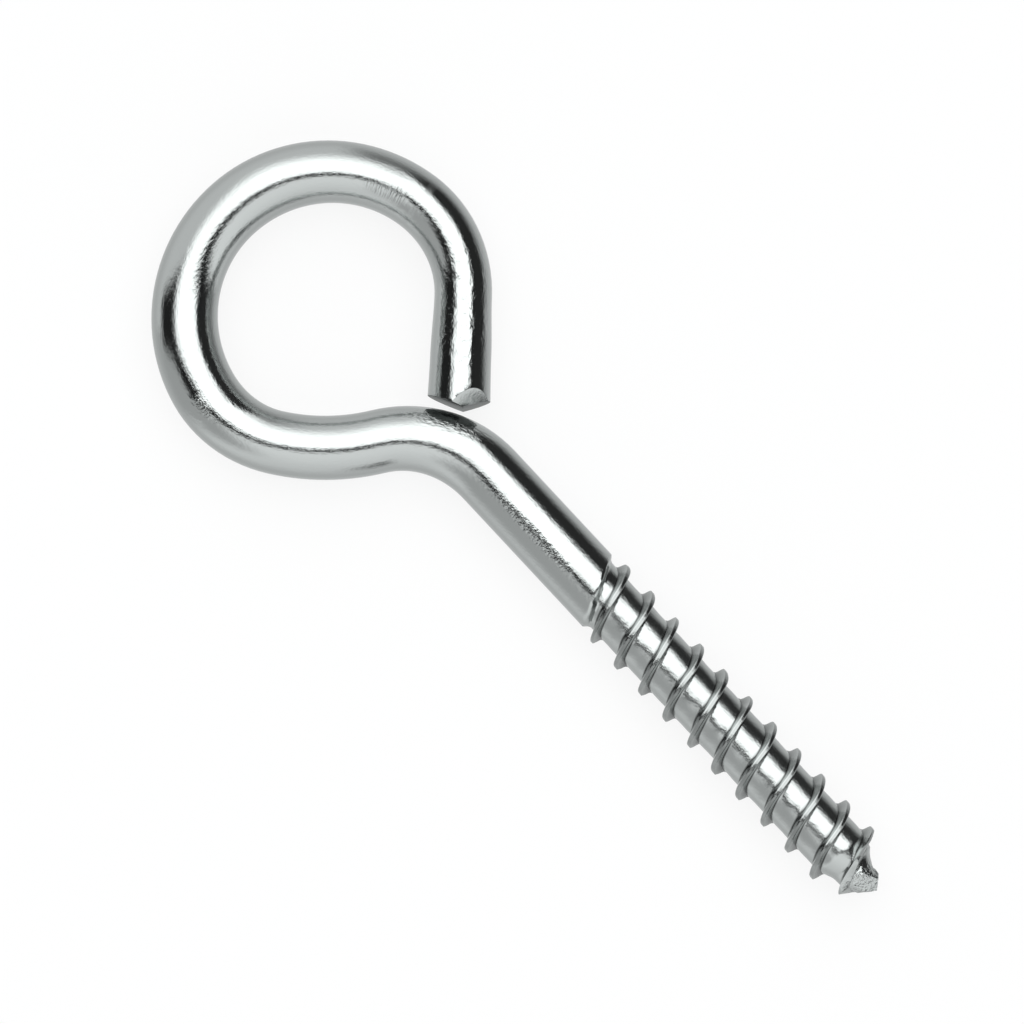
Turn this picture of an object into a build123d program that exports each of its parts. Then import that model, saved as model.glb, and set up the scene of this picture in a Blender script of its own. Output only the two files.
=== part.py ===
from build123d import *
from math import atan2, degrees, sqrt
import os

# A screw eye: one length of zinc-plated steel wire. One end is bent round into
# an eye that stops just short of the neck. The other is rolled with a coarse
# two-start wood thread and pinched off to a blunt point.
#
# Frame: the origin is the centre of the eye's main bend, +X runs along the
# shank to the point and +Z is up. The part lies flat, as it comes to rest on
# the far side of the eye and the first full crest of the thread.

# Wire, in millimetres like every length here
wire_diameter = 5.8
bend_pinch = 0.45          # how much thinner the bends leave the wire, in their own plane
pinch_run = 4.0            # plain shank in which the wire gets back to round

# Bends of the centre line
kink_radius = 9.4
kink_turn = 55.5           # degrees
main_radius = 12.0
main_turn = 156.2
main_start = 100.1         # bearing of the main bend's first point from its centre
shoulder_radius = 9.1
shoulder_turn = 48.0
bottom_radius = 18.7
bottom_turn = 26.2
neck_radius = 9.5

# Sheared end of the wire
end_gap = 0.4              # clearance between the cut edge and the neck
edge_offset = 0.35         # cut edge to the centre line, towards the outside
inner_shear = 18.0         # degrees from square, either side of the edge
outer_shear = 16.0
shear_lean = 4.0           # degrees that the inner cut faces upwards
end_length = 2.3           # edge back to where the wire is whole
corner_back = 1.5          # where the nipped corner starts, back along the crown
corner_side = 34.0         # degrees that it is turned outwards from square
corner_rise = 40.0         # degrees that it faces upwards

# Shank and thread
plain_length = 13.1        # neck to the first crest
thread_length = 33.7       # first crest to the point
starts = 2
crest_spacing = 2.94
crest_rise = 0.36          # crest above the surface of the wire
root_depth = 0.4           # root below it
ridge_rear = 0.55          # foot of the ridge behind its crest, and in front of it
ridge_front = 0.45
crest_half_width = 0.1
rise_back = 1.1            # where the first crest starts to rise, back from its place
rise_length = 2.4          # length in which it reaches its full height
rise_sunk = 0.15           # how deep in the shank it starts
ridge_sunk = 0.3           # how deep in the core every ridge is rooted
shoulder_lean = 25.0       # degrees that the end of the plain shank leans with the thread
shoulder_bevel = 0.35
point_taper = 4.4          # full thread to the point
waist_back = 1.7           # where the taper steepens, back from the point
waist_diameter = 4.9
point_diameter = 0.9

wire_radius = wire_diameter / 2
crest_radius = wire_radius + crest_rise
root_radius = wire_radius - root_depth
lead = starts * crest_spacing


def across(point, heading, pinch):
    """Section of the wire: full height, and pinched in the plane of the bend."""
    plane = Plane(origin=point, x_dir=(0, 0, 1), z_dir=heading)
    return plane * Ellipse(wire_radius, wire_radius - pinch / 2)


def bend(path):
    """A stretch of the wire at the section that its bends have."""
    return sweep(across(path @ 0, path % 0, bend_pinch), path=path)


def ridge(start):
    """The thread's ridge for one start, with its flanks run on into the core."""
    rear_slope = (ridge_rear - crest_half_width) / (crest_radius - root_radius)
    front_slope = (ridge_front - crest_half_width) / (crest_radius - root_radius)
    base = root_radius - ridge_sunk
    rear = crest_half_width + rear_slope * (crest_radius - base)
    front = crest_half_width + front_slope * (crest_radius - base)
    corners = [
        (base, -rear),
        (base, front),
        (crest_radius, crest_half_width),
        (crest_radius, -crest_half_width),
    ]
    profile = Plane.XZ * make_face(Polyline(*corners, close=True))
    first = start * crest_spacing - lead
    path = Helix(lead, thread_length + lead - first, root_radius)
    return Pos(0, 0, first) * sweep(profile, path=path, is_frenet=True)


def bar(radius, start, end):
    """A round bar along the shank."""
    return Pos(0, 0, start) * Cylinder(radius, end - start, align=(Align.CENTER, Align.CENTER, Align.MIN))


# The centre line: the main bend first, then on to the shank and back to the end
main = CenterArc((0, 0), main_radius, main_start, main_turn)
shoulder = JernArc(main @ 1, main % 1, shoulder_radius, shoulder_turn)
bottom = JernArc(shoulder @ 1, shoulder % 1, bottom_radius, bottom_turn)
neck_turn = main_start + main_turn + shoulder_turn + bottom_turn - 270
neck = JernArc(bottom @ 1, bottom % 1, neck_radius, -neck_turn)
kink = JernArc(main @ 0, -(main % 0), kink_radius, -kink_turn)
neck_end, shank_y = (neck @ 1).X, (neck @ 1).Y

ring = bend(main) + bend(kink) + bend(shoulder) + bend(bottom) + bend(neck)

# The last stretch runs straight at the neck and is sheared from both sides, with
# its edge a clearance short of the neck's outer surface. On the leg's own plane,
# X runs along the wire and Y to the outside of the eye.
leg_plane = Plane(origin=kink @ 1, x_dir=kink % 1, z_dir=(0, 0, 1))
neck_centre = leg_plane.to_local_coords(Vector(neck_end, shank_y - neck_radius, 0))
reach = neck_radius + wire_radius - bend_pinch / 2 + end_gap
edge = neck_centre.X - sqrt(reach**2 - (neck_centre.Y - edge_offset) ** 2)
whole = kink @ 1 + (kink % 1) * (edge - end_length)
leg = bend(Line(kink @ 1, whole))
end = bend(Line(whole, kink @ 1 + (kink % 1) * (edge + end_gap)))
cuts = [
    ((edge, edge_offset, 0), -inner_shear, shear_lean),
    ((edge, edge_offset, 0), outer_shear, 0),
    ((edge - corner_back, 0, wire_radius), corner_side, corner_rise),
]
for place, outwards, upwards in cuts:
    facing = Rotation(0, 0, outwards) * Rotation(0, 90 - upwards, 0)
    end = split(end, bisect_by=Plane(leg_plane.location * Pos(place) * facing), keep=Keep.BOTTOM)

# The shank, in a frame with Z along it from the first crest and X in the plane of the
# eye. Its plain part ends in a step that leans with the thread.
first_crest = neck_end + plain_length
along_shank = Plane(origin=(first_crest, shank_y, 0), x_dir=(0, 1, 0), z_dir=(1, 0, 0))
round_from = neck @ 1 + (neck % 1) * pinch_run
easing = loft([across(neck @ 1, neck % 1, bend_pinch), across(round_from, neck % 1, 0)])
step = Plane((0, 0, 0)).rotated((0, -shoulder_lean, 0))
plain = split(bar(wire_radius, pinch_run - plain_length, crest_spacing), bisect_by=step, keep=Keep.BOTTOM)
plain = chamfer(plain.edges().sort_by(Axis.Z)[-1], shoulder_bevel)

# The thread: ridges on a core, inside a blank that rises out of the shank and tapers to
# the point. The blank's two long slopes run on outwards past the crests until they meet.
full_start = rise_length - rise_back
full_end = thread_length - point_taper
rise = (crest_radius - wire_radius + rise_sunk) / rise_length
fall = (crest_radius - waist_diameter / 2) / (point_taper - waist_back)
meet = (rise * full_start + fall * full_end) / (rise + fall)
outline = [
    (0, -rise_back),
    (wire_radius - rise_sunk, -rise_back),
    (crest_radius + rise * (meet - full_start), meet),
    (waist_diameter / 2, thread_length - waist_back),
    (point_diameter / 2, thread_length),
    (0, thread_length),
]
blank = revolve(Plane.XZ * make_face(Polyline(*outline, close=True)), Axis.Z)
core = bar(root_radius, -2 * lead, thread_length + 2 * lead)
thread = core.fuse(*[ridge(start) for start in range(starts)]) & blank
shank = easing + along_shank * (plain + thread)

# Lying flat, the part leans on the far side of the eye and the first full crest
rest_tilt = degrees(atan2(crest_rise, first_crest + crest_spacing + main_radius))
screw_eye = (ring + leg + end + shank).rotate(Axis.Y, -rest_tilt)

os.makedirs("parts", exist_ok=True)
export_step(screw_eye, "parts/screw_eye.step")
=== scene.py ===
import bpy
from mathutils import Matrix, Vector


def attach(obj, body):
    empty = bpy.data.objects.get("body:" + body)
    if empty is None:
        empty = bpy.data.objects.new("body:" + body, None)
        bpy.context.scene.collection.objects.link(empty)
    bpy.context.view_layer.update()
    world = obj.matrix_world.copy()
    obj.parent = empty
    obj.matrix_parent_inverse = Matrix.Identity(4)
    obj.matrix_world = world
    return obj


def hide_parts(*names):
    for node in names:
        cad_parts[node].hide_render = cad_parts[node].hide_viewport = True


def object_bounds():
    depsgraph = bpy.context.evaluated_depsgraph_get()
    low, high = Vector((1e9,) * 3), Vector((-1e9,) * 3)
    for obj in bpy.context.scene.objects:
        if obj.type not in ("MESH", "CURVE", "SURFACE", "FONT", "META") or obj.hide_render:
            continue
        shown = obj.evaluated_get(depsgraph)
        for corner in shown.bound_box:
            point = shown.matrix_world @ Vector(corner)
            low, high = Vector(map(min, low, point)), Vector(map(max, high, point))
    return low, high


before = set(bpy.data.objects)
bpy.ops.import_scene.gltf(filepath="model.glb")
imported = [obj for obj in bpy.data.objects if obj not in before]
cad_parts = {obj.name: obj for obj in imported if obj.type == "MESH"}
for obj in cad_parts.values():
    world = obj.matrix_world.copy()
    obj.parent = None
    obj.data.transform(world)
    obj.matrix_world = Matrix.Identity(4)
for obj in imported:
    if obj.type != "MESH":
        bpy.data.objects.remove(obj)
cadLow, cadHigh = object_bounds()
print("frame loaded")

import math

import bmesh
import bpy
from mathutils import Matrix, Vector, noise

scene = bpy.context.scene
mm = 0.001
hair = 1e-5                    # mm, a distance that counts as none

# The wire: its sizes and the bends of its centre line, in mm and degrees.
# The eye is walked from the top of the main bend, both ways.
wire = {
    "radius": 2.9,
    "segments": 96,            # round the wire
    "step": 0.6,               # between rings along it
    "main": (12.0, 156.2),     # radius and turn of each bend
    "mainStart": 100.1,        # bearing of its first point from its centre
    "shoulder": (9.1, 48.0),
    "bottom": (18.7, 26.2),
    "neck": (9.5, -60.5),
    "kink": (9.4, -55.5),
    "legLength": 12.0,         # the straight stretch after the kink, uncut
    "legPinchAt": 0.4,         # where along the leg its own pinch is reached, as a share
    "edgeAt": 9.43,            # cut edge, from the end of the kink
    "edgeOut": 0.35,           # and towards the outside of the eye
    "cutTurns": (-18.0, 16.0), # how far the two cuts are turned from square
    "cutLean": 4.5,            # how far both face upwards
    "cornerBack": 0.98,        # where the nipped corner starts on the crown, back from the edge
    "cornerIn": 0.36,          # and towards the inside of the eye
    "cornerTurn": 42.0,
    "cornerLean": 46.0,
    "cutAhead": 0.5,           # middle of what the cuts work on, ahead of the edge, and its radius
    "cutReach": 4.5,
    "edgeBevel": 0.1,          # round all the cuts' edges that lie this near to the cut edge
    "bevelReach": 4.0,
    "crease": 38.0,            # edges that turn more than this stay sharp
    "restTilt": -0.4446,       # the eye lies on its far side
}
plateSlot, steelSlot = 0, 1    # the mesh's two materials

# How much thinner the wire is in the plane of the eye: at its top, and then where each stretch ends
pinches = {
    "top": 0.8, "left": 0.45, "lowerLeft": 0.25, "bottom": 0.5, "neck": 0.5, "shank": 0.0,
    "kink": 1.05, "leg": 0.75, "end": 0.45,
}


def shade(bm):
    for face in bm.faces:
        face.smooth = True
    for edge in bm.edges:
        if len(edge.link_faces) == 2 and edge.calc_face_angle(0) > math.radians(wire["crease"]):
            edge.smooth = False


def ease(t):
    t = min(max(t, 0.0), 1.0)
    return t * t * (3 - 2 * t)


def once(items):
    # Each of them once, in their own order
    return list(dict.fromkeys(items))


def nextRing(bm, ring):
    # Extrudes a ring of edges in place, and gives the new ring and its vertices
    made = bmesh.ops.extrude_edge_only(bm, edges=ring)["geom"]
    verts = [g for g in made if isinstance(g, bmesh.types.BMVert)]
    known = set(verts)
    edges = [g for g in made if isinstance(g, bmesh.types.BMEdge)
             and g.verts[0] in known and g.verts[1] in known]
    return edges, verts


def thin(bm, verts, walk, pinch):
    # Rescales a ring across the wire, in the plane of the eye, from the last pinch to this one
    sideways = Matrix.Rotation(walk["heading"], 4, "Z")
    place = Matrix.Translation(walk["at"]) @ sideways
    full = 2 * wire["radius"]
    ratio = (full - pinch) / (full - walk["pinch"])
    bmesh.ops.scale(bm, vec=(1, ratio, 1), space=place.inverted(), verts=verts)
    walk["pinch"] = pinch


def note(bm, verts, walk):
    # Where each vertex would lie on the straight wire, so that marks can follow the bends
    layer = bm.verts.layers.float_vector["straightened"]
    back = (Matrix.Translation(walk["at"]) @ Matrix.Rotation(walk["heading"], 4, "Z")).inverted()
    for vert in verts:
        local = back @ vert.co
        vert[layer] = (walk["along"], local.y, local.z)


def followBend(bm, ring, walk, radius, turn, pinch):
    # Carries the ring of edges round one bend. A positive turn is to the left.
    turn = math.radians(turn)
    side = math.copysign(1, turn)
    left = Vector((-math.sin(walk["heading"]), math.cos(walk["heading"]), 0))
    centre = walk["at"] + left * radius * side
    steps = max(4, round(abs(turn) * radius / wire["step"]))
    first = walk["pinch"]
    for k in range(1, steps + 1):
        ring, verts = nextRing(bm, ring)
        spin = Matrix.Rotation(turn / steps, 3, "Z")
        bmesh.ops.rotate(bm, cent=centre, matrix=spin, verts=verts)
        walk["at"] = centre + spin @ (walk["at"] - centre)
        walk["heading"] += turn / steps
        walk["along"] += abs(turn) * radius / steps * walk["way"]
        thin(bm, verts, walk, first + (pinch - first) * ease(k / steps))
        note(bm, verts, walk)
    return ring


def followLine(bm, ring, walk, length, pinch):
    # Carries the ring of edges straight ahead
    steps = max(2, round(length / wire["step"]))
    ahead = Vector((math.cos(walk["heading"]), math.sin(walk["heading"]), 0))
    first = walk["pinch"]
    for k in range(1, steps + 1):
        ring, verts = nextRing(bm, ring)
        bmesh.ops.translate(bm, vec=ahead * length / steps, verts=verts)
        walk["at"] = walk["at"] + ahead * length / steps
        walk["along"] += length / steps * walk["way"]
        thin(bm, verts, walk, first + (pinch - first) * ease(k / steps))
        note(bm, verts, walk)
    return ring


def cutEnd(bm, middle, reach, planes):
    # Shears the end of the wire with one plane after another, and closes each cut in its own finish
    for place, facing, finish in planes:
        faces = [f for f in bm.faces if (f.calc_center_median() - middle).length < reach]
        edges = once(e for f in faces for e in f.edges)
        verts = once(v for f in faces for v in f.verts)
        cut = bmesh.ops.bisect_plane(bm, geom=faces + edges + verts, dist=hair,
                                     plane_co=place, plane_no=facing, clear_outer=True)
        rim = [g for g in cut["geom_cut"] if isinstance(g, bmesh.types.BMEdge) and g.is_boundary]
        rim.sort(key=lambda e: (e.verts[0].co + e.verts[1].co)[:])    # so that each cap starts at one place
        for face in bmesh.ops.contextual_create(bm, geom=rim)["faces"]:
            face.material_index = finish


def makeEye(bm):
    start = math.radians(wire["mainStart"])
    radius, turn = wire["main"]
    top = Vector((radius * math.cos(start), radius * math.sin(start), 0))
    heading = start + math.pi / 2
    made = bmesh.ops.create_circle(bm, segments=wire["segments"], radius=wire["radius"], cap_ends=False)
    verts = made["verts"]
    ring = once(e for v in verts for e in v.link_edges)
    facing = Matrix.Rotation(heading, 4, "Z") @ Matrix.Rotation(math.pi / 2, 4, "Y")
    bmesh.ops.transform(bm, matrix=Matrix.Translation(top) @ facing, verts=verts)
    bends = [wire[name] for name in ("main", "shoulder", "bottom", "neck")]
    along = thread["neckEnd"] - sum(abs(math.radians(angle)) * bend for bend, angle in bends)
    walk = {"at": top.copy(), "heading": heading, "along": along, "way": 1, "pinch": 0.0}
    thin(bm, verts, walk, pinches["top"])
    note(bm, verts, walk)

    # back round the kink to the sheared end
    back = {**walk, "at": top.copy(), "heading": heading + math.pi, "way": -1}
    tail = followBend(bm, ring, back, *wire["kink"], pinches["kink"])
    leg = Matrix.Translation(back["at"]) @ Matrix.Rotation(back["heading"], 4, "Z")
    tail = followLine(bm, tail, back, wire["legLength"] * wire["legPinchAt"], pinches["leg"])
    tail = followLine(bm, tail, back, wire["legLength"] * (1 - wire["legPinchAt"]), pinches["end"])
    shearEnd(bm, tail, leg)

    # round the main bend and on to the shank
    ring = [e for e in bm.edges if e.is_boundary and (e.verts[0].co - top).length < 2 * wire["radius"]]
    half = turn / 2
    end = followBend(bm, ring, walk, radius, half, pinches["left"])
    end = followBend(bm, end, walk, radius, turn - half, pinches["lowerLeft"])
    end = followBend(bm, end, walk, *wire["shoulder"], pinches["bottom"])
    end = followBend(bm, end, walk, *wire["bottom"], pinches["neck"])
    return followBend(bm, end, walk, *wire["neck"], pinches["shank"])


def shearEnd(bm, tail, leg):
    # The two cuts meet in an edge of dull steel, whose dark grey is partly painted shade. The nipped corner
    # above it is plated.
    bmesh.ops.contextual_create(bm, geom=tail)
    edge = (wire["edgeAt"], wire["edgeOut"], -wire["radius"])
    corner = (wire["edgeAt"] - wire["cornerBack"], -wire["cornerIn"], wire["radius"])
    cuts = [(edge, turn, wire["cutLean"], steelSlot) for turn in wire["cutTurns"]]
    cuts.append((corner, wire["cornerTurn"], wire["cornerLean"], plateSlot))
    planes = []
    for place, outwards, upwards, finish in cuts:
        turned = Matrix.Rotation(math.radians(outwards), 3, "Z")
        facing = turned @ Vector((math.cos(math.radians(upwards)), 0, math.sin(math.radians(upwards))))
        planes.append((leg @ Vector(place), leg.to_3x3() @ facing, finish))
    cutEnd(bm, leg @ Vector((wire["edgeAt"] + wire["cutAhead"], 0, 0)), wire["cutReach"], planes)
    near = leg @ Vector((wire["edgeAt"], 0, 0))
    caps = [f for f in bm.faces if len(f.verts) > 4
            and (f.calc_center_median() - near).length < wire["bevelReach"]]
    rims = once(e for f in caps for e in f.edges)
    bmesh.ops.bevel(bm, geom=rims, offset=wire["edgeBevel"], segments=2, profile=0.5, material=-1,
                    affect="EDGES", clamp_overlap=True)
    bmesh.ops.triangulate(bm, faces=[f for f in bm.faces if len(f.verts) > 4], ngon_method="BEAUTY")


# The shank and its two-start thread, in mm. Heights are from the shank's axis, distances
# along it from the first crest or back from the point.
thread = {
    "neckEnd": 18.447,         # where the shank starts, along X
    "axisY": 0.727,
    "firstCrest": 31.547,
    "length": 33.7,            # first crest to the point
    "starts": 2,
    "spacing": 2.94,
    "crest": 3.25,
    "foot": (0.35, 0.35),      # behind the crest and in front, on the side of the wire's end
    "hook": (0.55, 0.27),      # the same on the other side, where the crests lie over
    "land": 0.17,              # half the width of the crest
    "underside": 0.75,         # share of the crest that is missing just under either side
    "undersideStarts": (0.0, 0.2),  # between which sines of the angle under the side
    "undersideEnds": (0.5, 0.9),
    "collarAt": 0.1,           # end of the plain shank, from the first crest
    "collarLean": 1.35,        # how far it leans with the thread
    "collarStep": (-0.25, 0.25),    # where the shank steps down to the root, from the collar
    "rise": (-0.9, 1.3),       # where the crests rise from their first height to the full one
    "riseFrom": 2.75,          # that first height, a little below the wire's surface
    "wobble": 0.2,             # how far the crests lie forward on the side of the wire's end
    "uneven": 0.16,            # how far they wander, and how fast along the shank
    "unevenPace": 0.45,
    "rootUneven": 0.03,        # the same for the height of the root, along the shank and round it
    "rootPace": (0.9, 1.6),
    "settle": 2.0,             # length in which the crests start and stop wandering
    "footShadeWidth": 0.1,        # half the width of the dark line of painted shade along each foot, for the hollow root
    "darkeningEnds": (1.5, 3.5),  # where that painted shade and the darkened crests die away, back from the point
    "crestDarkening": 0.3,          # how far the crests are darkened with that same colour
    "crestEdge": 0.02,         # and how far past the land
    "points": 26,              # along each crest spacing
    "crowding": 1.7,           # how much closer they are at its crest
    "weld": 0.002,             # gap that is closed between turns
    "bridge": 0.4,             # length in which the neck runs on into the shank
}
pointAt = thread["firstCrest"] + thread["length"]
bridgeAt = thread["neckEnd"] + thread["bridge"]

# Root and crest on the last stretch: distance back from the point, height
taper = {
    "rootLeft": ((0, 0.95), (1.85, 1.07), (2.75, 1.57), (3.25, 2.03), (4.4, 2.44)),
    "rootRight": ((0, 0.3), (0.48, 0.66), (0.9, 1.3), (1.75, 1.9), (3.0, 1.95), (4.4, 2.44)),
    "crestLeft": ((0, 0.95), (1.85, 1.15), (3.2, 2.1), (3.6, 2.9), (4.0, 3.25)),
    "crestRight": ((0, 0.3), (0.48, 0.66), (1.0, 1.3), (1.75, 2.6), (4.2, 3.25)),
    "flatsAt": 64.5,           # middle of what the flats work on, along X, and its radius
    "flatsReach": 3.6,
    "flats": (                 # a place on each flat of the pinched end, and the way that it faces
        ((65.2, 0.727, 0), (0.755, 0.656, 0)),
        ((63.5, -1.88, 0), (0.837, -0.545, 0)),
        ((62.5, 0.8, 2.05), (0.555, -0.09, 0.826)),
    ),
}


def through(points, x):
    # Straight from point to point, and level beyond the last
    for (x0, y0), (x1, y1) in zip(points, points[1:]):
        if x <= x1:
            return y0 + (y1 - y0) * max(x - x0, 0) / (x1 - x0)
    return points[-1][1]


def between(x, ends):
    # 0 at the first end and 1 at the second
    return (x - ends[0]) / (ends[1] - ends[0])


def footAt(fromCrest, cosine):
    # How far the foot of the ridge is from its crest, behind it or in front
    side = 1 if fromCrest > 0 else 0
    hooked = (1 - cosine) / 2
    return thread["foot"][side] * (1 - hooked) + thread["hook"][side] * hooked


def ridge(fromCrest, cosine, sine):
    # Height of the thread at a distance ahead of its crest, 0 at the root and 1 at the crest
    foot = footAt(fromCrest, cosine)
    t = (foot - abs(fromCrest)) / (foot - thread["land"])
    under = max(-sine, 0)
    missing = ease(between(under, thread["undersideStarts"]))
    missing *= 1 - ease(between(under, thread["undersideEnds"]))
    return ease(t) * (1 - thread["underside"] * missing)


def makeShank(bm):
    # A row of vertices spun along the shank, a full lead in one turn, and then set to the thread's height
    spacing, points = thread["spacing"], thread["points"]
    lead = thread["starts"] * spacing
    axis = Vector((0, thread["axisY"], 0))
    first = -math.ceil((thread["firstCrest"] - thread["neckEnd"]) / spacing) - thread["starts"] - 1
    line = []
    for crest in range(first, math.ceil(thread["length"] / spacing) + 1):
        for k in range(points):
            part = 2 * k / points - 1
            fromCrest = spacing / 2 * math.copysign(abs(part) ** thread["crowding"], part)
            x = thread["firstCrest"] + crest * spacing + fromCrest
            line.append(bm.verts.new(axis + Vector((x, wire["radius"], 0))))
    edges = [bm.edges.new(pair) for pair in zip(line, line[1:])]
    steps = wire["segments"]
    bmesh.ops.spin(bm, geom=line + edges, cent=axis, axis=(1, 0, 0), dvec=(lead / steps, 0, 0),
                   angle=2 * math.pi, steps=steps, use_merge=False)
    bmesh.ops.remove_doubles(bm, verts=bm.verts, dist=thread["weld"])
    for x, way in ((bridgeAt, -1), (pointAt, 1)):
        bmesh.ops.bisect_plane(bm, geom=bm.verts[:] + bm.edges[:] + bm.faces[:], dist=hair,
                               plane_co=(x, 0, 0), plane_no=(way, 0, 0), clear_outer=True)
    for vert in bm.verts:
        setOnThread(bm, vert, axis, lead)


def setOnThread(bm, vert, axis, lead):
    # Gives a vertex of the bare shank its height, and its place in the finish
    across = vert.co - axis
    radius = math.hypot(across.y, across.z)
    cosine, sine = across.y / radius, across.z / radius
    x = across.x
    pastCollar = x - (thread["firstCrest"] + thread["collarAt"] - thread["collarLean"] * cosine)
    back = pointAt - x
    fromCrest = x - thread["firstCrest"] - lead * math.atan2(across.z, across.y) / (2 * math.pi)
    fromCrest = (fromCrest + thread["spacing"] / 2) % thread["spacing"] - thread["spacing"] / 2

    # root and crest at this place, the crest no lower than the root
    left = (1 + cosine) / 2
    low = through(taper["rootLeft"], back) * left + through(taper["rootRight"], back) * (1 - left)
    high = through(taper["crestLeft"], back) * left + through(taper["crestRight"], back) * (1 - left)
    high = max(high, low)
    rise = min(max(between(pastCollar, thread["rise"]), 0), 1)
    high = min(high, thread["riseFrom"] + (thread["crest"] - thread["riseFrom"]) * rise)
    along, around = thread["rootPace"]
    low += thread["rootUneven"] * noise.noise(Vector((x * along, cosine * around, sine * around)))
    step = ease(between(pastCollar, thread["collarStep"]))
    radius = wire["radius"] + (low + (high - low) * ridge(fromCrest, cosine, sine) - wire["radius"]) * step

    wander = noise.noise(Vector((x * thread["unevenPace"], cosine, sine)))
    nudge = thread["wobble"] * cosine + thread["uneven"] * wander
    nudge *= ease(pastCollar / thread["settle"]) * ease(back / thread["settle"])
    vert.co = axis + Vector((x + nudge, radius * cosine, radius * sine))
    vert[bm.verts.layers.float_vector["straightened"]] = (x, radius * cosine, radius * sine)
    # Painted shade: a dark line along each foot of the ridge, where the hollow root lies in shade and the
    # plate is thin, and a share of the same dark on the crests
    near = 1 - abs(abs(fromCrest) - footAt(fromCrest, cosine)) / thread["footShadeWidth"]
    darkCrest = thread["crestDarkening"] if abs(fromCrest) < thread["land"] + thread["crestEdge"] else 0
    vert[bm.verts.layers.float["corner"]] = max(near, darkCrest) * step * ease(between(back, thread["darkeningEnds"]))


def boundary(bm, x):
    # The open edges of the shank at one place along it
    return [e for e in bm.edges if e.is_boundary and all(abs(v.co.x - x) < thread["weld"] for v in e.verts)]


def makeScrewEye():
    bm = bmesh.new()
    bm.verts.layers.float_vector.new("straightened")
    # share of painted shade along the thread's feet, and of the crests' darkening, on each vertex
    bm.verts.layers.float.new("corner")
    makeShank(bm)
    bmesh.ops.holes_fill(bm, edges=boundary(bm, pointAt), sides=0)
    flats = [(Vector(place), Vector(facing), plateSlot) for place, facing in taper["flats"]]
    cutEnd(bm, Vector((taper["flatsAt"], thread["axisY"], 0)), taper["flatsReach"], flats)
    neck = makeEye(bm)
    bmesh.ops.bridge_loops(bm, edges=neck + boundary(bm, bridgeAt))
    shade(bm)
    tilt = Matrix.Rotation(math.radians(wire["restTilt"]), 4, "Y")
    bmesh.ops.transform(bm, matrix=Matrix.Scale(mm, 4) @ tilt, verts=bm.verts)
    bmesh.ops.recalc_face_normals(bm, faces=bm.faces)
    mesh = bpy.data.meshes.new("zincWire")
    bm.to_mesh(mesh)
    bm.free()
    piece = bpy.data.objects.new("zincWire", mesh)
    scene.collection.objects.link(piece)
    return piece


piece = makeScrewEye()
print("screw eye", len(piece.data.vertices), "vertices", len(piece.data.polygons), "faces")


def linear(hexColour):
    values = [int(hexColour[k:k + 2], 16) / 255 for k in (1, 3, 5)]
    return [v / 12.92 if v <= 0.04045 else ((v + 0.055) / 1.055) ** 2.4 for v in values] + [1.0]


def addNode(tree, kind, settings=None, inputs=None, links=None):
    node = tree.nodes.new(kind)
    for name, value in (settings or {}).items():
        setattr(node, name, value)
    for name, value in (inputs or {}).items():
        node.inputs[name].default_value = value
    for name, source in (links or {}).items():
        tree.links.new(source, node.inputs[name])
    return node


def emptyTree(holder):
    holder.use_nodes = True
    holder.node_tree.nodes.clear()
    return holder.node_tree


# Bright zinc electroplate on drawn steel wire: a grey mirror, softened by the wire's own fine waves.
# The sheared faces at the wire's end are torn, so the plate is dull and thin on them; their dark grey is also
# painted shade, for the shadowed gap that they mirror.
zinc = {
    "colour": "#b8bbba",
    "roughness": 0.075,
    "threadRoughness": 0.17,
    "blend": 0.5,              # mm either side of the first crest in which the one becomes the other
    "shadeAndCrestColour": "#2e302f", # painted shade along the feet of the thread's ridges, for the hollow roots and their thin plate; the crests take a share of it
    "wave": 0.2,               # mm across the fine waves
    "waveDraw": 0.45,          # how much slower they run along the wire than round it
    "waveDepth": 0.018,        # mm
    "markFade": 0.5,           # share of a mark's size from which it fades out
    "marks": (                 # place on the straightened wire, size along and across it, mm of depth
        {"at": (-37.9, 0.2, 2.9), "size": (2.6, 1.5), "line": (0.16, 1.2), "depth": 0.05},
        {"at": (-6.5, -1.3, 2.6), "size": (1.5, 1.2), "line": (0.25, 0.3), "depth": 0.045},
        {"at": (-50.5, 0, 2.6), "size": (7.5, 3.4), "line": (0.9, 0.55), "depth": 0.05},
        {"at": (24.5, -0.6, 2.8), "size": (6.0, 0.9), "line": (0.3, 0.25), "depth": 0.03},
        {"at": (13.6, 2.2, 1.9), "size": (3.6, 2.0), "line": (0.4, 0.3), "depth": 0.08},
        {"at": (64.2, 0, 0.8), "size": (2.0, 2.4), "line": (0.3, 0.35), "depth": 0.16},
    ),
}
sheared = {
    # dark grey of bare steel, darkened further as painted shade for the shadowed gap
    "colour": "#666968",
    "roughness": 0.4,
    "wave": 0.15,              # mm across the torn grain
    "waveDepth": 0.03,         # mm
}


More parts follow.
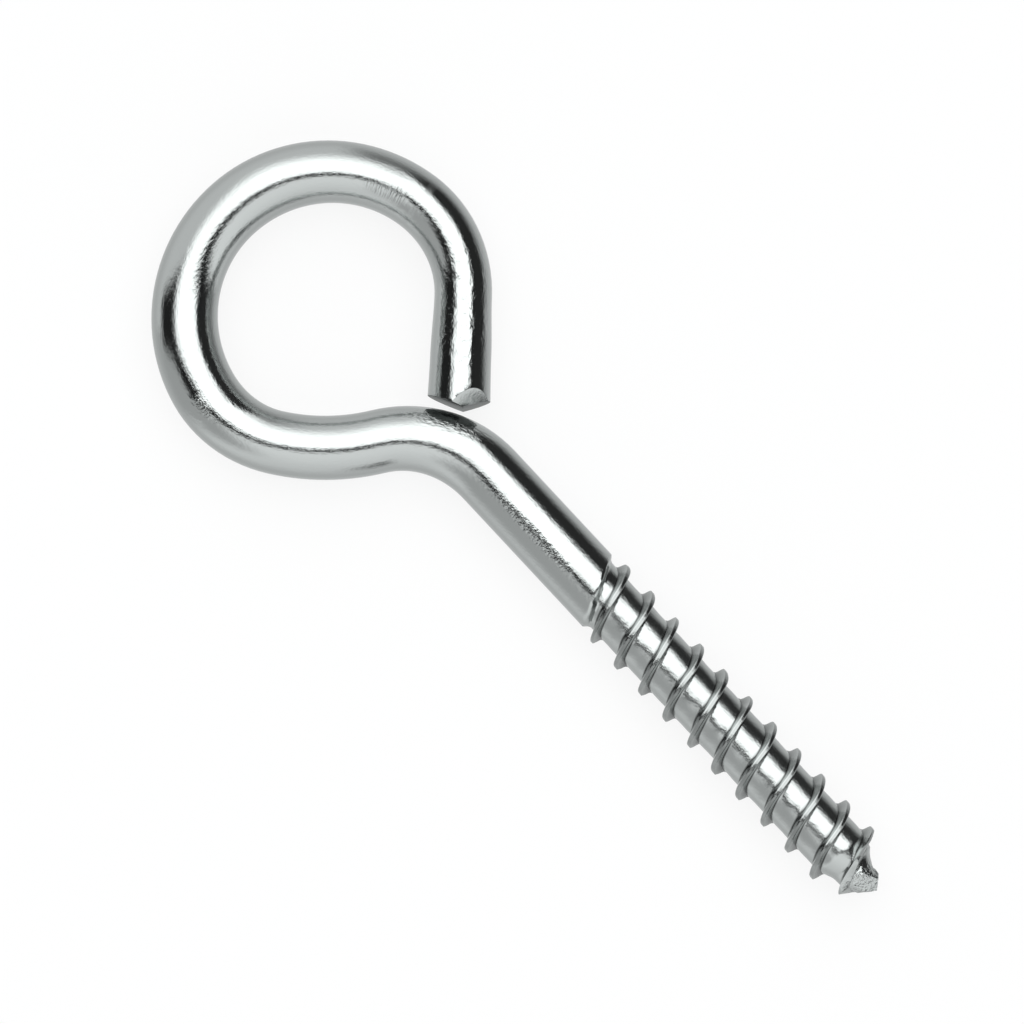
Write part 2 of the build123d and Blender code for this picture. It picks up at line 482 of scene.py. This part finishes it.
def mark(tree, place, settings):
    # Height of one scuffed spot: lines of a set width and length, fading out from its middle
    offset = addNode(tree, "ShaderNodeVectorMath", {"operation": "SUBTRACT"}, {1: settings["at"]}, {0: place})
    along, across = settings["size"]
    scaled = addNode(tree, "ShaderNodeVectorMath", {"operation": "DIVIDE"}, {1: (along, across, across)},
                     {0: offset.outputs["Vector"]})
    distance = addNode(tree, "ShaderNodeVectorMath", {"operation": "LENGTH"}, {},
                       {0: scaled.outputs["Vector"]})
    inside = addNode(tree, "ShaderNodeMapRange", {"interpolation_type": "SMOOTHSTEP"},
                     {"From Min": 1.0, "From Max": zinc["markFade"]}, {"Value": distance.outputs["Value"]})
    width, length = settings["line"]
    drawn = addNode(tree, "ShaderNodeVectorMath", {"operation": "DIVIDE"}, {1: (width, length, length)},
                    {0: place})
    lines = addNode(tree, "ShaderNodeTexNoise", {}, {"Scale": 1, "Detail": 2},
                    {"Vector": drawn.outputs["Vector"]})
    height = addNode(tree, "ShaderNodeMath", {"operation": "MULTIPLY"}, {},
                     {0: lines.outputs["Fac"], 1: inside.outputs["Result"]})
    return addNode(tree, "ShaderNodeMath", {"operation": "MULTIPLY"}, {1: settings["depth"]},
                   {0: height.outputs[0]}).outputs[0]


def zincPlate():
    material = bpy.data.materials.new("brightZincPlate")
    tree = emptyTree(material)
    place = addNode(tree, "ShaderNodeAttribute", {"attribute_name": "straightened"})
    drawn = addNode(tree, "ShaderNodeMapping", {}, {"Scale": (zinc["waveDraw"], 1, 1)},
                    {"Vector": place.outputs["Vector"]})
    wave = addNode(tree, "ShaderNodeTexNoise", {}, {"Scale": 1 / zinc["wave"], "Detail": 4, "Roughness": 0.6},
                   {"Vector": drawn.outputs["Vector"]})
    height = addNode(tree, "ShaderNodeMath", {"operation": "MULTIPLY"}, {1: zinc["waveDepth"]},
                     {0: wave.outputs["Fac"]}).outputs[0]
    for settings in zinc["marks"]:
        height = addNode(tree, "ShaderNodeMath", {"operation": "ADD"}, {},
                         {0: height, 1: mark(tree, place.outputs["Vector"], settings)}).outputs[0]
    bump = addNode(tree, "ShaderNodeBump", {}, {"Strength": 1, "Distance": mm}, {"Height": height})
    parts = addNode(tree, "ShaderNodeSeparateXYZ", {}, {}, {"Vector": place.outputs["Vector"]})
    crest, blend = thread["firstCrest"], zinc["blend"]
    rough = addNode(tree, "ShaderNodeMapRange", {},
                    {"From Min": crest - blend, "From Max": crest + blend,
                     "To Min": zinc["roughness"], "To Max": zinc["threadRoughness"]},
                    {"Value": parts.outputs["X"]})
    # Painted shade along the thread's feet, and the darkened crests, mixed into the zinc's colour
    corner = addNode(tree, "ShaderNodeAttribute", {"attribute_name": "corner"})
    colour = addNode(tree, "ShaderNodeMix", {"data_type": "RGBA"},
                     {6: linear(zinc["colour"]), 7: linear(zinc["shadeAndCrestColour"])},
                     {0: corner.outputs["Fac"]})
    surface = addNode(tree, "ShaderNodeBsdfPrincipled", {}, {"Metallic": 1},
                      {"Base Color": colour.outputs[2], "Roughness": rough.outputs["Result"],
                       "Normal": bump.outputs["Normal"]})
    addNode(tree, "ShaderNodeOutputMaterial", {}, {}, {"Surface": surface.outputs["BSDF"]})
    return material


def shearedSteel():
    material = bpy.data.materials.new("dullShadedShearedSteel")
    tree = emptyTree(material)
    place = addNode(tree, "ShaderNodeTexCoord")
    grain = addNode(tree, "ShaderNodeTexNoise", {}, {"Scale": 1 / (sheared["wave"] * mm), "Detail": 3},
                    {"Vector": place.outputs["Object"]})
    bump = addNode(tree, "ShaderNodeBump", {}, {"Strength": 1, "Distance": sheared["waveDepth"] * mm},
                   {"Height": grain.outputs["Fac"]})
    surface = addNode(tree, "ShaderNodeBsdfPrincipled", {},
                      {"Base Color": linear(sheared["colour"]), "Metallic": 1,
                       "Roughness": sheared["roughness"]},
                      {"Normal": bump.outputs["Normal"]})
    addNode(tree, "ShaderNodeOutputMaterial", {}, {}, {"Surface": surface.outputs["BSDF"]})
    return material


piece.data.materials.append(zincPlate())
piece.data.materials.append(shearedSteel())
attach(piece, "root")
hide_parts("screw_eye")
print("zinc plate on")

# The stage: a large pale floor at the height on which the part rests. The camera sees most of it
# at plain white, over a share of its lit surface that keeps the part's shadow. The metal sees the
# studio's own pale table in its place, which runs out to the dark cards.
stage = {"floor": "#fdfdfd", "floorSize": 6.0, "plainToCamera": 0.87}


def makeFloor():
    bm = bmesh.new()
    bmesh.ops.create_grid(bm, x_segments=1, y_segments=1, size=stage["floorSize"] / 2)
    bmesh.ops.translate(bm, vec=(0, 0, cadLow.z), verts=bm.verts)
    mesh = bpy.data.meshes.new("floor")
    bm.to_mesh(mesh)
    bm.free()
    floor = bpy.data.objects.new("floor", mesh)
    scene.collection.objects.link(floor)
    material = bpy.data.materials.new("paleFloor")
    tree = emptyTree(material)
    lit = addNode(tree, "ShaderNodeBsdfDiffuse", {}, {"Color": linear(stage["floor"])})
    plain = addNode(tree, "ShaderNodeEmission", {}, {"Color": linear(stage["floor"]), "Strength": 1})
    path = addNode(tree, "ShaderNodeLightPath")
    share = addNode(tree, "ShaderNodeMath", {"operation": "MULTIPLY"}, {1: stage["plainToCamera"]},
                    {0: path.outputs["Is Camera Ray"]})
    seen = addNode(tree, "ShaderNodeMixShader", {}, {},
                   {0: share.outputs[0], 1: lit.outputs["BSDF"], 2: plain.outputs["Emission"]})
    clear = addNode(tree, "ShaderNodeBsdfTransparent")
    mirrored = addNode(tree, "ShaderNodeMath", {"operation": "MAXIMUM"}, {},
                       {0: path.outputs["Is Glossy Ray"], 1: path.outputs["Is Transmission Ray"]})
    surface = addNode(tree, "ShaderNodeMixShader", {}, {},
                      {0: mirrored.outputs[0], 1: seen.outputs["Shader"], 2: clear.outputs["BSDF"]})
    addNode(tree, "ShaderNodeOutputMaterial", {}, {}, {"Surface": surface.outputs["Shader"]})
    mesh.materials.append(material)


makeFloor()

# The camera looks straight down, turned about its own axis
camera = {
    "middle": (21.937, 0.012),
    "turn": 47.0,
    "width": 84.35,            # mm that the view is across
    "lens": 300.0,
    "sensor": 36.0,
    "clip": (0.01, 10.0),
}


def makeCamera():
    data = bpy.data.cameras.new("camera")
    data.lens, data.sensor_width = camera["lens"], camera["sensor"]
    distance = camera["width"] * camera["lens"] / camera["sensor"]
    holder = bpy.data.objects.new("camera", data)
    x, y = camera["middle"]
    holder.location = (x * mm, y * mm, distance * mm)
    holder.rotation_euler = (0, 0, math.radians(camera["turn"]))
    data.clip_start, data.clip_end = camera["clip"]
    scene.collection.objects.link(holder)
    scene.camera = holder


makeCamera()

# The studio. Each card is placed by the slope of the wire that mirrors it to the camera: x to the
# right and y up in the camera's view, 0 for level metal, 0.71 where it mirrors the horizon and 1 for
# upright. Soft is the blur of each edge. A ring keeps a card between two slopes.
cards = [
    {"name": "lower reflector", "left": -1.5, "right": 1.5, "low": -0.6, "high": -0.12,
     "soft": (0.1, 0.1, 0.7, 0.02), "light": 1.22},
    {"name": "lower left card", "left": -1.2, "right": -0.2, "low": -0.52, "high": -0.03,
     "soft": (0.1, 0.22, 0.22, 0.08), "light": 0.6},
    {"name": "far upper card", "left": 0.1, "right": 1.2, "low": 0.4, "high": 1.2,
     "soft": (0.2, 0.1, 0.3, 0.1), "light": 0.3},
    {"name": "right flag", "left": 0.36, "right": 1.2, "low": -0.17, "high": 0.6,
     "soft": (0.05, 0.1, 0.12, 0.34), "light": 0.035},
    {"name": "lower left flag", "left": -0.42, "right": -0.25, "low": -0.2, "high": -0.06,
     "soft": (0.12, 0.06, 0.1, 0.04), "light": 0.05},
    {"name": "left flag", "left": -0.7, "right": -0.25, "low": -0.11, "high": 0.13,
     "soft": (0.12, 0.04, 0.1, 0.1), "light": 0.025},
    {"name": "dark far edge", "left": 0.1, "right": 1.2, "low": -1.2, "high": -0.1,
     "soft": (0.2, 0.1, 0.1, 0.2), "ring": (0.69, 0.8, 0.08), "light": 0.1},
    {"name": "gap", "left": -0.4, "right": 0.5, "low": -0.165, "high": -0.02,
     "soft": (0.2, 0.1, 0.03, 0.03), "light": 0.02},
    {"name": "soft box", "left": -0.27, "right": 0.365, "low": -0.05, "high": 0.48,
     "soft": (0.22, 0.05, 0.02, 0.34), "light": 2.25},
    {"name": "upper right flag", "left": 0.28, "right": 0.6, "low": 0.27, "high": 0.62,
     "soft": (0.06, 0.2, 0.14, 0.2), "light": 0.04},
    {"name": "table", "left": -1.5, "right": 1.5, "low": -1.5, "high": 1.5,
     "soft": (0.1, 0.1, 0.1, 0.1), "ring": (0.83, 1.5, 0.2), "light": 0.7},
]
studio = {"wall": 0.88, "tint": "#fdffff"}


def ramp(tree, value, edge, way, soft):
    node = addNode(tree, "ShaderNodeMapRange", {"interpolation_type": "SMOOTHSTEP"},
                   {"From Min": edge - way * soft / 2, "From Max": edge + way * soft / 2}, {"Value": value})
    return node.outputs["Result"]


def coverage(tree, card, x, y, steepness):
    edges = ((x, card["left"], 1), (x, card["right"], -1), (y, card["low"], 1), (y, card["high"], -1))
    parts = [ramp(tree, *edge, soft) for edge, soft in zip(edges, card["soft"])]
    if "ring" in card:
        inner, outer, soft = card["ring"]
        parts += [ramp(tree, steepness, inner, 1, soft), ramp(tree, steepness, outer, -1, soft)]
    product = parts[0]
    for part in parts[1:]:
        product = addNode(tree, "ShaderNodeMath", {"operation": "MULTIPLY"}, {},
                          {0: product, 1: part}).outputs[0]
    return product


def makeStudio():
    world = bpy.data.worlds.new("studio")
    scene.world = world
    tree = emptyTree(world)
    place = addNode(tree, "ShaderNodeTexCoord")
    turned = addNode(tree, "ShaderNodeVectorRotate", {"rotation_type": "Z_AXIS"},
                     {"Angle": -math.radians(camera["turn"])}, {"Vector": place.outputs["Generated"]})
    halfway = addNode(tree, "ShaderNodeVectorMath", {"operation": "ADD"}, {1: (0, 0, 1)},
                      {0: turned.outputs["Vector"]})
    slope = addNode(tree, "ShaderNodeVectorMath", {"operation": "NORMALIZE"}, {},
                    {0: halfway.outputs["Vector"]})
    parts = addNode(tree, "ShaderNodeSeparateXYZ", {}, {}, {"Vector": slope.outputs["Vector"]})
    flat = addNode(tree, "ShaderNodeVectorMath", {"operation": "MULTIPLY"}, {1: (1, 1, 0)},
                   {0: slope.outputs["Vector"]})
    steepness = addNode(tree, "ShaderNodeVectorMath", {"operation": "LENGTH"}, {},
                        {0: flat.outputs["Vector"]})
    level = addNode(tree, "ShaderNodeValue")
    level.outputs[0].default_value = studio["wall"]
    light = level.outputs[0]
    for card in cards:
        cover = coverage(tree, card, parts.outputs["X"], parts.outputs["Y"], steepness.outputs["Value"])
        light = addNode(tree, "ShaderNodeMix", {"data_type": "FLOAT", "label": card["name"]},
                        {3: card["light"]}, {0: cover, 2: light}).outputs[0]
    glow = addNode(tree, "ShaderNodeBackground", {}, {"Color": linear(studio["tint"])}, {"Strength": light})
    addNode(tree, "ShaderNodeOutputWorld", {}, {}, {"Surface": glow.outputs["Background"]})


makeStudio()
scene.view_settings.view_transform = "Standard"
print("stage, camera and light ready")
